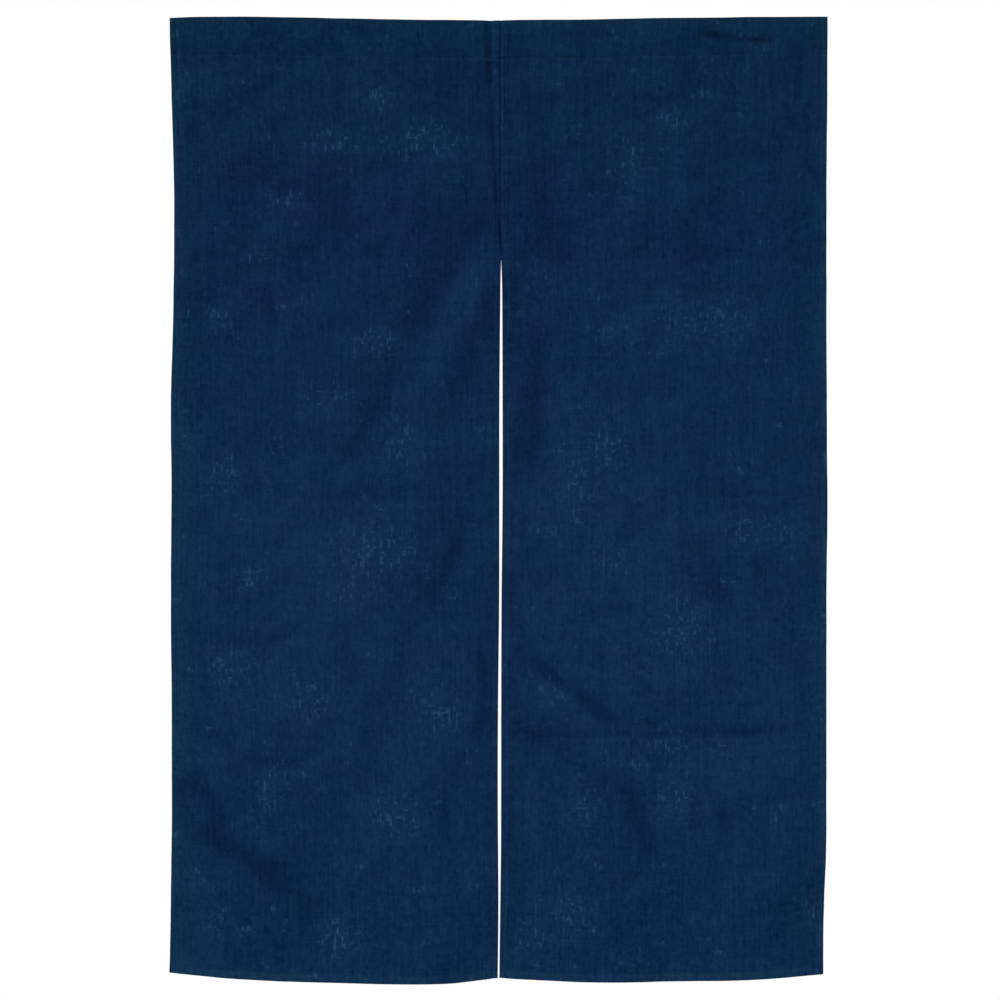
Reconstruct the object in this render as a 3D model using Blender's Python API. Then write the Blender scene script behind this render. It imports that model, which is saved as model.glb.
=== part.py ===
"""Noren curtain: two panels of dark indigo linen, sewn together at the top and parted by a slit below.

Metres, +Z up. The hanging lies in the XZ plane with its face towards -Y, and its origin is the middle
of its top edge. Each panel is one length of cloth. From the bottom hem it runs up the front, turns
over the top edge and comes down behind as the rear wall of the rod pocket, which is stitched to the
front along one line. The pocket is open at both sides, so a rod goes straight through both panels.
"""

from collections import namedtuple

import bmesh
import bpy
import numpy as np

# Driving dimensions.
HALF_WIDTH = 0.440
LENGTH = 1.283  # top edge to bottom edge, beside the slit
SLIT_TOP = 0.320  # every "drop" is measured down the cloth from its top edge
SEAM_ACROSS = 0.0035  # the centre seam hangs this far to the right of the middle
SEAM_GAP = 0.0003
CLOTH_THICKNESS = 0.0012
HEM_THICKNESS = 0.0020
HEM_STEP = 0.0015  # over this distance a hem thins to the single cloth
SIDE_HEM = 0.010
SLIT_HEM = 0.008
BOTTOM_HEM = 0.010
POCKET_DEPTH = 0.051  # top edge to stitch line
POCKET_LEDGE = 0.004  # the rear wall ends this far below its stitch line
POCKET_FRONT_BULGE = 0.002
POCKET_REAR_BULGE = 0.014
POCKET_LEAN = 0.002  # the top edge stands this far behind the panel's face
PACKING_CREASES = (0.320, 0.638, 0.953)  # drops at which the folded cloth was pressed
PACKING_CREASE_WIDTH = 0.022
PACKING_CREASE_DEPTH = 0.0010
FLUTE_WIDTH = 0.235  # side-to-side length of one soft wave, deepest at the bottom hem
FLUTE_DEPTH = 0.0018

# Mesh spacing.
COLUMNS_BETWEEN_HEMS = 15
ROWS_PER_CREASE = 9
POCKET_STEPS = 7
CURVE_STEPS = 12

INDIGO = (0.0052, 0.0212, 0.0648, 1.0)
LINEN_ROUGHNESS = 0.88

# Where the side edges and the slit edges stand at each drop. Insets run in from the half width.
Section = namedtuple("Section", "drop left_inset slit_left slit_right right_inset")
SECTIONS = (
    Section(0.000, 0.0000, 0.0033, 0.0037, 0.0000),
    Section(0.100, 0.0025, 0.0033, 0.0037, 0.0002),
    Section(0.235, 0.0061, 0.0033, 0.0037, 0.0013),
    Section(0.320, 0.0058, 0.0032, 0.0038, 0.0013),
    Section(0.352, 0.0056, 0.0024, 0.0049, 0.0013),
    Section(0.375, 0.0054, 0.0022, 0.0051, 0.0013),
    Section(0.510, 0.0018, 0.0010, 0.0056, 0.0009),
    Section(0.645, 0.0025, 0.0009, 0.0056, 0.0000),
    Section(0.780, 0.0016, 0.0007, 0.0042, 0.0012),
    Section(0.910, 0.0027, -0.0007, 0.0038, 0.0013),
    Section(1.045, 0.0027, -0.0011, 0.0036, 0.0013),
    Section(1.115, 0.0026, -0.0007, 0.0034, 0.0017),
    Section(1.180, 0.0014, -0.0003, 0.0026, 0.0040),
    Section(1.283, -0.0014, -0.0012, 0.0013, 0.0052),
)

# How far the top edge rises above its middle, and the bottom edge above its lowest point. "across"
# runs from a panel's side edge, 0, to its slit edge, 1.
Edge = namedtuple("Edge", "across left_top right_top left_bottom right_bottom")
LOWEST = -1.290
EDGES = (
    Edge(0.00, 0.0037, 0.0050, 0.0145, 0.0130),
    Edge(0.06, 0.0049, 0.0051, 0.0118, 0.0112),
    Edge(0.12, 0.0051, 0.0051, 0.0096, 0.0089),
    Edge(0.25, 0.0050, 0.0049, 0.0063, 0.0055),
    Edge(0.42, 0.0038, 0.0038, 0.0032, 0.0043),
    Edge(0.60, 0.0024, 0.0029, 0.0008, 0.0031),
    Edge(0.75, 0.0011, 0.0012, 0.0004, 0.0036),
    Edge(0.88, 0.0007, 0.0010, 0.0022, 0.0055),
    Edge(0.96, 0.0003, 0.0008, 0.0060, 0.0070),
    Edge(1.00, 0.0000, 0.0000, 0.0081, 0.0083),
)

# Main folds, each along a bent line through three (x, z) points. A trough has a depth above 0, so it
# lies behind the panel's face, and a ridge has one below 0.
Fold = namedtuple("Fold", "name start middle end width depth")
FOLDS = (
    Fold("drag from slit top", (0.009, -0.218), (-0.104, -0.414), (-0.201, -0.613), 0.030, 0.0038),
    Fold("ridge beside drag", (0.024, -0.304), (-0.052, -0.424), (-0.076, -0.534), 0.032, -0.0030),
    Fold("left shoulder", (-0.375, -0.246), (-0.275, -0.220), (-0.125, -0.290), 0.034, 0.0026),
    Fold("left upper sag", (-0.425, -0.380), (-0.315, -0.340), (-0.215, -0.345), 0.034, 0.0022),
    Fold("left inner fall", (-0.025, -0.655), (-0.085, -0.790), (-0.185, -1.015), 0.034, 0.0030),
    Fold("left slit pull", (-0.018, -0.791), (0.005, -0.920), (-0.044, -1.041), 0.024, 0.0024),
    Fold("left corner drag", (-0.406, -0.989), (-0.371, -1.109), (-0.211, -1.239), 0.032, 0.0052),
    Fold("left corner ridge", (-0.425, -1.085), (-0.385, -1.165), (-0.275, -1.230), 0.034, -0.0035),
    Fold("right of seam", (0.058, -0.188), (0.080, -0.280), (0.108, -0.363), 0.028, 0.0024),
    Fold("right upright trough", (0.064, -0.404), (0.064, -0.513), (0.070, -0.633), 0.030, 0.0030),
    Fold("right upright ridge", (0.090, -0.485), (0.123, -0.635), (0.160, -0.730), 0.034, -0.0030),
    Fold("right sweep", (0.026, -0.843), (0.149, -0.975), (0.404, -0.963), 0.030, 0.0042),
    Fold("right sweep ridge", (0.062, -0.907), (0.162, -1.000), (0.372, -0.997), 0.026, -0.0028),
    Fold("right low drag", (0.018, -0.953), (0.139, -0.998), (0.229, -1.139), 0.030, 0.0034),
    Fold("right middle fall", (0.244, -0.684), (0.302, -0.759), (0.322, -0.829), 0.032, 0.0022),
    Fold("left belly", (-0.265, -1.060), (-0.240, -0.820), (-0.250, -0.580), 0.110, -0.0050),
    Fold("right belly", (0.255, -0.920), (0.240, -0.700), (0.225, -0.460), 0.110, -0.0045),
    Fold("left side corner", (-0.440, -1.390), (-0.440, -1.280), (-0.440, -1.170), 0.090, 0.0060),
    Fold("left slit corner", (-0.005, -1.370), (-0.005, -1.280), (-0.005, -1.190), 0.070, 0.0018),
    Fold("right side corner", (0.440, -1.380), (0.440, -1.265), (0.440, -1.150), 0.095, 0.0035),
)

Panel = namedtuple("Panel", "name side")
PANELS = (Panel("panel_left", -1), Panel("panel_right", 1))


def column_of(rows, name):
    """One named column of a table, as an array."""
    return np.array([getattr(row, name) for row in rows])


def smooth_curve(places, values, at):
    """Reads a cubic curve through (places, values), whose slope at a point follows its neighbours."""
    slopes = np.gradient(values, places)
    start = np.clip(np.searchsorted(places, at, side="right") - 1, 0, len(places) - 2)
    width = places[start + 1] - places[start]
    t = (at - places[start]) / width
    rise = 3 * t**2 - 2 * t**3
    leave = (t**3 - 2 * t**2 + t) * width
    arrive = (t**3 - t**2) * width
    return (
        (1 - rise) * values[start]
        + rise * values[start + 1]
        + leave * slopes[start]
        + arrive * slopes[start + 1]
    )


def from_sections(name, drop):
    """A column of SECTIONS at each drop."""
    return smooth_curve(column_of(SECTIONS, "drop"), column_of(SECTIONS, name), drop)


def from_edges(name, across):
    """A column of EDGES at each place across a panel."""
    return smooth_curve(column_of(EDGES, "across"), column_of(EDGES, name), across)


def fold_depth(fold, x, z):
    """How deep a fold is at each point: a bell curve over the distance to its bent line.

    The line is a quadratic curve cut into short straights, and the fold tapers to nothing at both ends.
    """
    t = np.linspace(0, 1, CURVE_STEPS)[:, None]
    start, middle, end = (np.array(point) for point in (fold.start, fold.middle, fold.end))
    # The curve passes through the middle point, so its control point lies past it.
    control = 2 * middle - (start + end) / 2
    line = (1 - t) ** 2 * start + 2 * t * (1 - t) * control + t**2 * end
    points = np.stack([x, z], axis=-1)
    nearest = np.full(x.shape, np.inf)
    place = np.zeros(x.shape)  # 0 at the start of the line, 1 at its end
    for step, (a, b) in enumerate(zip(line, line[1:])):
        along = np.clip((points - a) @ (b - a) / ((b - a) @ (b - a)), 0, 1)
        distance = np.linalg.norm(points - a - along[..., None] * (b - a), axis=-1)
        place = np.where(distance < nearest, (step + along) / (CURVE_STEPS - 1), place)
        nearest = np.minimum(nearest, distance)
    return fold.depth * np.exp(-((nearest / fold.width) ** 2)) * (1 - (2 * place - 1) ** 4)


def relief(x, z, drop):
    """How far the panel's face stands behind the XZ plane: folds, pressed creases and soft flutes."""
    depth = FLUTE_DEPTH * (drop / LENGTH) ** 2 * np.sin(2 * np.pi * x / FLUTE_WIDTH + 1.2)
    for fold in FOLDS:
        depth += fold_depth(fold, x, z)
    for crease in PACKING_CREASES:
        depth += PACKING_CREASE_DEPTH * np.exp(-np.abs(drop - crease) / PACKING_CREASE_WIDTH)
    return depth


def face_point(panel, across, drop):
    """Points of the panel's front face, over the place across it and the drop down it."""
    side = "left" if panel.side < 0 else "right"
    top = from_edges(f"{side}_top", across)
    bottom = LOWEST + from_edges(f"{side}_bottom", across)
    z = top + (bottom - top) * drop / LENGTH
    outer = panel.side * (HALF_WIDTH - from_sections(f"{side}_inset", drop))
    slit = from_sections(f"slit_{side}", drop)
    seam = SEAM_ACROSS + panel.side * SEAM_GAP / 2
    inner = np.where(drop <= SLIT_TOP, seam, slit)
    x = outer + (inner - outer) * across
    return np.stack([x, relief(x, z, drop), z], axis=-1)


def places_across():
    """Columns across a panel, from its side edge to its slit edge, and whether each is in a hem."""
    width = HALF_WIDTH - SEAM_ACROSS
    inside = np.linspace(SIDE_HEM + HEM_STEP, width - SLIT_HEM - HEM_STEP, COLUMNS_BETWEEN_HEMS + 1)
    places = np.concatenate([[0, SIDE_HEM], inside, [width - SLIT_HEM, width]]) / width
    in_hem = np.full(len(places), False)
    in_hem[[0, 1, -2, -1]] = True
    return places, in_hem


def drops_below_pocket():
    """Rows from the bottom edge up to the pocket's stitch line, and whether each is in the hem."""
    marks = (POCKET_DEPTH + POCKET_LEDGE,) + PACKING_CREASES + (LENGTH - BOTTOM_HEM - HEM_STEP,)
    rows = [POCKET_DEPTH]
    for upper, lower in zip(marks, marks[1:]):
        rows.extend(np.linspace(upper, lower, ROWS_PER_CREASE, endpoint=False))
    rows += [marks[-1], LENGTH - BOTTOM_HEM, LENGTH]
    drops = np.array(rows[::-1])
    return drops, drops >= LENGTH - BOTTOM_HEM


def pocket_walls(panel, across, thickness):
    """The pocket's outer and inner walls, from the stitch line over the top and down to it again.

    The section is a teardrop. At an angle t from 0 to a full turn its depth below the top edge goes
    as 1 + cos(t), and its walls part as sin(t) * sin(t / 2), sharp at the stitch line and round at
    the top.
    """
    angle = np.linspace(0, 2 * np.pi, 2 * POCKET_STEPS + 1)[None, :]
    below_top = (1 + np.cos(angle)) / 2
    bulge = np.sin(angle) * np.sin(angle / 2)
    bulge /= np.abs(bulge).max()
    outer = face_point(panel, across, POCKET_DEPTH * below_top)
    front = -POCKET_FRONT_BULGE * bulge
    rear = -POCKET_REAR_BULGE * bulge + 2 * thickness * below_top
    outer[..., 1] += np.where(angle <= np.pi, front, rear) + POCKET_LEAN * (1 - below_top)
    along = np.gradient(outer[..., 1:], axis=1)
    along /= np.linalg.norm(along, axis=-1, keepdims=True)
    inner = outer.copy()
    # Walking up the front and down the rear, the inner wall lies to the walk's right.
    inner[..., 1] += thickness * along[..., 1]
    inner[..., 2] -= thickness * along[..., 0]
    return outer, inner


def panel_loops(panel):
    """Each column's outer loop and the loop of its pocket, as (column, point, xyz), with their caps.

    A cap is a list of quads that fills one column's section. Each corner names its loop and place.
    """
    places, in_side_hem = places_across()
    drops, in_bottom_hem = drops_below_pocket()
    across = places[:, None]
    hemmed = in_side_hem[:, None] | in_bottom_hem[None, :]
    thickness = np.where(hemmed, HEM_THICKNESS, CLOTH_THICKNESS)
    front = face_point(panel, across, drops[None, :])
    back = front.copy()
    back[..., 1] += thickness
    outer_wall, inner_wall = pocket_walls(panel, across, thickness[:, -1:])
    stitch = back[:, -1:]
    ledge = back[:, -2:-1].copy()
    ledge[..., 1] += thickness[:, -1:]

    outer = np.concatenate([front, outer_wall[:, 1:], ledge, back[:, -2::-1]], axis=1)
    inner = np.concatenate([stitch, inner_wall[:, 1:-1]], axis=1)

    rows = len(drops)
    last = outer.shape[1] - 1
    walls = 2 * POCKET_STEPS
    rear_end = rows - 1 + walls
    cap = [((0, r), (0, r + 1), (0, last - r - 1), (0, last - r)) for r in range(rows - 2)]
    cap.append(((0, rows - 2), (0, rows - 1), (1, 0), (0, rear_end + 2)))
    cap.append(((0, rear_end + 2), (1, 0), (0, rear_end), (0, rear_end + 1)))
    for step in range(walls):
        place = rows - 1 + step
        cap.append(((0, place), (0, place + 1), (1, (step + 1) % walls), (1, step)))
    return outer, inner, cap


def add_wall(mesh, columns, top):
    """Adds the quads between neighbouring columns of one closed loop.

    Past the loop's top the quads start a corner later, so that both faces of the cloth are split
    along the same diagonals and keep their distance.
    """
    count = len(columns[0])
    for near, far in zip(columns, columns[1:]):
        for i in range(count):
            j = (i + 1) % count
            quad = [near[i], far[i], far[j], near[j]]
            mesh.faces.new(quad if i < top else quad[1:] + quad[:1])


def panel_object(panel, material):
    """One panel as a closed mesh object."""
    outer, inner, cap = panel_loops(panel)
    mesh = bmesh.new()
    outer_columns = [[mesh.verts.new(point) for point in column] for column in outer]
    inner_columns = [[mesh.verts.new(point) for point in column] for column in inner]
    top_of_outer = len(drops_below_pocket()[0]) - 1 + POCKET_STEPS
    add_wall(mesh, outer_columns, top_of_outer)
    add_wall(mesh, inner_columns, POCKET_STEPS)
    for end in (0, -1):
        loops = (outer_columns[end], inner_columns[end])
        for quad in cap:
            mesh.faces.new([loops[loop][place] for loop, place in quad])
    bmesh.ops.recalc_face_normals(mesh, faces=mesh.faces)
    data = bpy.data.meshes.new(panel.name)
    mesh.to_mesh(data)
    mesh.free()
    data.materials.append(material)
    data.shade_smooth()
    data.set_sharp_from_angle(angle=np.radians(40))
    cloth = bpy.data.objects.new(panel.name, data)
    bpy.context.scene.collection.objects.link(cloth)
    return cloth


def linen(name, colour):
    """Dark piece-dyed linen: rough, with no metal."""
    material = bpy.data.materials.new(name)
    material.use_nodes = True
    material.diffuse_color = colour
    shader = material.node_tree.nodes["Principled BSDF"]
    shader.inputs["Base Color"].default_value = colour
    shader.inputs["Roughness"].default_value = LINEN_ROUGHNESS
    shader.inputs["Metallic"].default_value = 0.0
    return material


def main():
    for thing in list(bpy.data.objects):
        bpy.data.objects.remove(thing, do_unlink=True)
    hanging = bpy.data.objects.new("hanging_point", None)
    hanging.empty_display_size = 0.05
    bpy.context.scene.collection.objects.link(hanging)
    for panel in PANELS:
        cloth = panel_object(panel, linen(f"{panel.name}_linen", INDIGO))
        cloth.parent = hanging


main()
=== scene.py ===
"""Noren curtain: the looks of two dark indigo linen panels, sewn together at the top and parted below.

Metres, +Z up. The hanging lies in the XZ plane with its face towards -Y, and the origin is the middle
of its top edge. Each panel is one sheet of cloth with its hems and rod pocket really folded over, laid
on the folds of its CAD solid, with the finer creases, seam puckers and stitches added.

A place on a panel is given by two lengths: "inward", from the panel's side edge towards its slit edge,
and "drop", from the top edge down the cloth.
"""

from __future__ import annotations

import logging
import math
from dataclasses import dataclass, field
from enum import Enum
from typing import Any

import bpy
import numpy as np
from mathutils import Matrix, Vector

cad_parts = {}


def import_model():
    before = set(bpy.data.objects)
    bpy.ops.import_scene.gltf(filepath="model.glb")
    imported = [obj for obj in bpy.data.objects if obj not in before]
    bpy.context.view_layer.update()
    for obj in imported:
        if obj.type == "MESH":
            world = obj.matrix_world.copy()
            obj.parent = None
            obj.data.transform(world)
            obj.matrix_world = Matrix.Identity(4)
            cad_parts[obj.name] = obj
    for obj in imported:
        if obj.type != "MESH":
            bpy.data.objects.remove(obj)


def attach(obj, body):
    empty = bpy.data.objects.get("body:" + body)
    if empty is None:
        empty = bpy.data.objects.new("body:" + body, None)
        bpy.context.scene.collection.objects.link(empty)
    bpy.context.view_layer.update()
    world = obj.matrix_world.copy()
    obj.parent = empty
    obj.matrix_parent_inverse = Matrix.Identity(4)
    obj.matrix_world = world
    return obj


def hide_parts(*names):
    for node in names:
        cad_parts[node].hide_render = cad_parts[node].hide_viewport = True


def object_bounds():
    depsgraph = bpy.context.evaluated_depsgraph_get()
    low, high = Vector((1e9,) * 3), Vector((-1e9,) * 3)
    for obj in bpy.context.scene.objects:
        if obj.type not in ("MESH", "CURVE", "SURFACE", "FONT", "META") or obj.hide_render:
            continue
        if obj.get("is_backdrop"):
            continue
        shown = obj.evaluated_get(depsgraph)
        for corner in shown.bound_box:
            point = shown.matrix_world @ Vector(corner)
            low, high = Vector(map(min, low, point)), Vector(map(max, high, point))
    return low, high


Array = np.ndarray
Colour = tuple[float, float, float]
LOG = logging.getLogger("noren")
BODY = "root"


class Side(Enum):
    """Which panel, as seen from the front. The value is the sign of its side edge's x."""

    LEFT = -1
    RIGHT = 1

    @property
    def word(self) -> str:
        """The side's name in lower case."""
        return self.name.lower()


class Line(Enum):
    """The lines of sewing on a panel."""

    POCKET = "pocket"
    BOTTOM = "bottom"
    SIDE = "side"
    SLIT = "slit"


@dataclass(frozen=True)
class Section:
    """Where the side edges and slit edges stand at one drop. Insets run in from the half width."""

    drop: float
    left_inset: float
    slit_left: float
    slit_right: float
    right_inset: float


@dataclass(frozen=True)
class EdgeRise:
    """How far the top edge rises above its middle, and the bottom edge above its lowest point."""

    across: float
    left_top: float
    right_top: float
    left_bottom: float
    right_bottom: float


@dataclass(frozen=True)
class Fold:
    """A soft trough, or a ridge if its depth is below 0, along a bent line through three (x, z) points."""

    name: str
    start: tuple[float, float]
    middle: tuple[float, float]
    end: tuple[float, float]
    width: float
    depth: float

    def line(self, steps: int = 12) -> Array:
        """Points along the quadratic curve that passes through the fold's three.

        Args:
            steps: How many points.

        Returns:
            Points as rows of x and z.
        """
        t = np.linspace(0, 1, steps)[:, None]
        start, middle, end = (np.array(point) for point in (self.start, self.middle, self.end))
        control = 2 * middle - (start + end) / 2
        return (1 - t) ** 2 * start + 2 * t * (1 - t) * control + t**2 * end

    def relief(self, x: Array, z: Array) -> Array:
        """How far the fold takes the cloth back behind the face.

        It is the depth times exp(-(distance to the line / width) squared), and it tapers along the
        line as 1 - (2 t - 1) to the fourth, where t runs from 0 at its start to 1 at its end.

        Args:
            x: Places across the hanging.
            z: Heights, in the same shape as x.

        Returns:
            The depth at each place, below 0 on a ridge.
        """
        points = np.stack([x, z], axis=-1)
        nearest = np.full(x.shape, np.inf)
        place = np.zeros(x.shape)
        line = self.line()
        for step, (a, b) in enumerate(zip(line, line[1:])):
            run = b - a
            along = np.clip((points - a) @ run / (run @ run), 0, 1)
            distance = np.linalg.norm(points - a - along[..., None] * run, axis=-1)
            place = np.where(distance < nearest, (step + along) / (len(line) - 1), place)
            nearest = np.minimum(nearest, distance)
        taper = 1 - (2 * place - 1) ** 4
        return self.depth * np.exp(-((nearest / self.width) ** 2)) * taper


@dataclass(frozen=True)
class PressedLine:
    """A crisp line that the folded cloth was pressed into in its packet."""

    drop: float
    x_from: float
    x_to: float
    strength: float
    fade_inside: float = 0.045
    fade_outside: float = 0.015

    def cover(self, x: Array, drop: Array, width: float) -> Array:
        """A bell curve of that width across the line, softly faded out at its ends.

        Args:
            x: Places across the hanging.
            drop: Drops down the cloth.
            width: The bell curve's width.

        Returns:
            The line's strength at each place.
        """
        past_start = step_down(self.x_from - x, -self.fade_inside, self.fade_outside)
        before_end = step_down(x - self.x_to, -self.fade_inside, self.fade_outside)
        across = np.exp(-(((drop - self.drop) / width) ** 2))
        return self.strength * past_start * before_end * across


SECTIONS = (
    Section(0.000, 0.0000, 0.0033, 0.0037, 0.0000),
    Section(0.100, 0.0025, 0.0033, 0.0037, 0.0002),
    Section(0.235, 0.0061, 0.0033, 0.0037, 0.0013),
    Section(0.320, 0.0058, 0.0032, 0.0038, 0.0013),
    Section(0.352, 0.0056, 0.0024, 0.0049, 0.0013),
    Section(0.375, 0.0054, 0.0022, 0.0051, 0.0013),
    Section(0.510, 0.0018, 0.0010, 0.0056, 0.0009),
    Section(0.645, 0.0025, 0.0009, 0.0056, 0.0000),
    Section(0.780, 0.0016, 0.0007, 0.0042, 0.0012),
    Section(0.910, 0.0027, -0.0007, 0.0038, 0.0013),
    Section(1.045, 0.0027, -0.0011, 0.0036, 0.0013),
    Section(1.115, 0.0026, -0.0007, 0.0034, 0.0017),
    Section(1.180, 0.0014, -0.0003, 0.0026, 0.0040),
    Section(1.283, -0.0014, -0.0012, 0.0013, 0.0052),
)

EDGES = (
    EdgeRise(0.00, 0.0037, 0.0050, 0.0145, 0.0130),
    EdgeRise(0.06, 0.0049, 0.0051, 0.0118, 0.0112),
    EdgeRise(0.12, 0.0051, 0.0051, 0.0096, 0.0089),
    EdgeRise(0.25, 0.0050, 0.0049, 0.0063, 0.0055),
    EdgeRise(0.42, 0.0038, 0.0038, 0.0032, 0.0043),
    EdgeRise(0.60, 0.0024, 0.0029, 0.0008, 0.0031),
    EdgeRise(0.75, 0.0011, 0.0012, 0.0004, 0.0036),
    EdgeRise(0.88, 0.0007, 0.0010, 0.0022, 0.0055),
    EdgeRise(0.96, 0.0003, 0.0008, 0.0060, 0.0070),
    EdgeRise(1.00, 0.0000, 0.0000, 0.0081, 0.0083),
)

# The folds of the CAD solids.
MAIN_FOLDS = (
    Fold("drag from slit top", (0.009, -0.218), (-0.104, -0.414), (-0.201, -0.613), 0.030, 0.0038),
    Fold("ridge beside drag", (0.024, -0.304), (-0.052, -0.424), (-0.076, -0.534), 0.032, -0.0030),
    Fold("left shoulder", (-0.375, -0.246), (-0.275, -0.220), (-0.125, -0.290), 0.034, 0.0026),
    Fold("left upper sag", (-0.425, -0.380), (-0.315, -0.340), (-0.215, -0.345), 0.034, 0.0022),
    Fold("left inner fall", (-0.025, -0.655), (-0.085, -0.790), (-0.185, -1.015), 0.034, 0.0030),
    Fold("left slit pull", (-0.018, -0.791), (0.005, -0.920), (-0.044, -1.041), 0.024, 0.0024),
    Fold("left corner drag", (-0.406, -0.989), (-0.371, -1.109), (-0.211, -1.239), 0.032, 0.0052),
    Fold("left corner ridge", (-0.425, -1.085), (-0.385, -1.165), (-0.275, -1.230), 0.034, -0.0035),
    Fold("right of seam", (0.058, -0.188), (0.080, -0.280), (0.108, -0.363), 0.028, 0.0024),
    Fold("right upright trough", (0.064, -0.404), (0.064, -0.513), (0.070, -0.633), 0.030, 0.0030),
    Fold("right upright ridge", (0.090, -0.485), (0.123, -0.635), (0.160, -0.730), 0.034, -0.0030),
    Fold("right sweep", (0.026, -0.843), (0.149, -0.975), (0.404, -0.963), 0.030, 0.0042),
    Fold("right sweep ridge", (0.062, -0.907), (0.162, -1.000), (0.372, -0.997), 0.026, -0.0028),
    Fold("right low drag", (0.018, -0.953), (0.139, -0.998), (0.229, -1.139), 0.030, 0.0034),
    Fold("right middle fall", (0.244, -0.684), (0.302, -0.759), (0.322, -0.829), 0.032, 0.0022),
    Fold("left belly", (-0.265, -1.060), (-0.240, -0.820), (-0.250, -0.580), 0.110, -0.0050),
    Fold("right belly", (0.255, -0.920), (0.240, -0.700), (0.225, -0.460), 0.110, -0.0045),
    Fold("left side corner", (-0.440, -1.390), (-0.440, -1.280), (-0.440, -1.170), 0.090, 0.0060),
    Fold("left slit corner", (-0.005, -1.370), (-0.005, -1.280), (-0.005, -1.190), 0.070, 0.0018),
    Fold("right side corner", (0.440, -1.380), (0.440, -1.265), (0.440, -1.150), 0.095, 0.0035),
)

# Narrower creases that only the looks carry.
FINE_CREASES = (
    Fold("seam drag in pocket", (-0.012, 0.010), (-0.0115, -0.040), (-0.009, -0.095), 0.0038, 0.0034),
    Fold("seam drag", (-0.008, -0.090), (-0.002, -0.225), (0.009, -0.330), 0.0042, 0.0018),
    Fold("drag core, upper", (-0.008, -0.244), (-0.036, -0.294), (-0.062, -0.349), 0.0120, 0.0011),
    Fold("drag core, middle", (-0.065, -0.335), (-0.103, -0.390), (-0.123, -0.445), 0.0150, 0.0007),
    Fold("drag core, lower", (-0.115, -0.460), (-0.165, -0.535), (-0.210, -0.595), 0.0150, 0.0008),
    Fold("shoulder core", (-0.305, -0.227), (-0.257, -0.227), (-0.195, -0.267), 0.0130, 0.0008),
    Fold("shoulder blot", (-0.244, -0.268), (-0.219, -0.268), (-0.174, -0.291), 0.0160, 0.0006),
    Fold("upper blob", (-0.320, -0.350), (-0.305, -0.388), (-0.295, -0.420), 0.0150, 0.0007),
    Fold("left low crease", (-0.421, -0.816), (-0.336, -0.834), (-0.241, -0.804), 0.0110, 0.0009),
    Fold("left low crease ridge", (-0.395, -0.847), (-0.330, -0.857), (-0.245, -0.831), 0.0150, -0.0004),
    Fold("left long crease", (-0.406, -0.934), (-0.316, -0.992), (-0.236, -0.976), 0.0110, 0.0012),
    Fold("left long ridge", (-0.390, -0.965), (-0.313, -1.015), (-0.230, -1.000), 0.0140, -0.0010),
    Fold("corner crease, upper", (-0.416, -0.999), (-0.381, -1.049), (-0.368, -1.099), 0.0120, 0.0014),
    Fold("corner crease, lower", (-0.396, -1.079), (-0.326, -1.126), (-0.232, -1.212), 0.0180, 0.0019),
    Fold("corner crease ridge", (-0.405, -1.115), (-0.330, -1.157), (-0.250, -1.230), 0.0150, -0.0006),
    Fold("inner fall, upper", (-0.046, -0.669), (-0.064, -0.729), (-0.096, -0.784), 0.0120, 0.0012),
    Fold("slit pull core", (-0.036, -0.812), (-0.016, -0.900), (-0.046, -0.995), 0.0100, 0.0013),
    Fold("slit pull, below", (-0.050, -0.990), (-0.063, -1.052), (-0.068, -1.110), 0.0100, 0.0009),
    Fold("beside drag, crest", (0.000, -0.330), (-0.050, -0.420), (-0.072, -0.510), 0.0200, -0.0015),
    Fold("right of seam core", (0.052, -0.169), (0.068, -0.264), (0.096, -0.349), 0.0120, 0.0008),
    Fold("drag flank", (-0.030, -0.255), (-0.100, -0.370), (-0.190, -0.545), 0.0240, 0.0004),
    Fold("upright core", (0.057, -0.429), (0.053, -0.514), (0.057, -0.614), 0.0110, 0.0011),
    Fold("sweep crease, inner", (0.018, -0.840), (0.076, -0.878), (0.164, -0.946), 0.0110, 0.0026),
    Fold("sweep crease, outer", (0.132, -0.932), (0.247, -0.946), (0.392, -0.955), 0.0060, 0.0010),
    Fold("sweep ridge", (0.044, -0.889), (0.114, -0.942), (0.179, -0.972), 0.0120, -0.0012),
    Fold("low drag, inner", (0.013, -0.945), (0.070, -0.967), (0.148, -1.023), 0.0095, 0.0007),
    Fold("low drag, outer", (0.135, -1.010), (0.181, -1.048), (0.210, -1.120), 0.0130, 0.0013),
    Fold("middle fall core", (0.244, -0.684), (0.289, -0.739), (0.308, -0.804), 0.0120, 0.0007),
    Fold("small upright", (0.343, -0.708), (0.355, -0.751), (0.367, -0.793), 0.0090, 0.0011),
    Fold("pocket wrinkle, outer", (0.270, -0.017), (0.318, -0.025), (0.375, -0.027), 0.0045, 0.0030),
    Fold("right dimple", (0.251, -0.296), (0.280, -0.309), (0.306, -0.326), 0.0170, 0.0007),
    Fold("right cross crease", (0.099, -0.810), (0.154, -0.789), (0.204, -0.777), 0.0110, 0.0006),
    Fold("right slit crease", (0.022, -0.735), (0.026, -0.790), (0.046, -0.840), 0.0100, 0.0011),
    Fold("right low upright", (0.300, -1.034), (0.306, -1.074), (0.304, -1.119), 0.0110, 0.0013),
    Fold("right side tuck", (0.403, -0.030), (0.405, -0.075), (0.402, -0.118), 0.0045, 0.0014),
    Fold("left top tuck", (-0.330, -0.115), (-0.300, -0.135), (-0.260, -0.142), 0.0120, 0.0008),
)

PRESSED_LINES = (
    PressedLine(0.320, -0.440, 0.440, 0.20),
    PressedLine(0.638, -0.310, -0.020, 0.45),
    PressedLine(0.636, 0.270, 0.440, 0.70),
    PressedLine(0.954, 0.010, 0.380, 1.25),
    PressedLine(0.957, -0.430, -0.220, 0.30),
)


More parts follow.
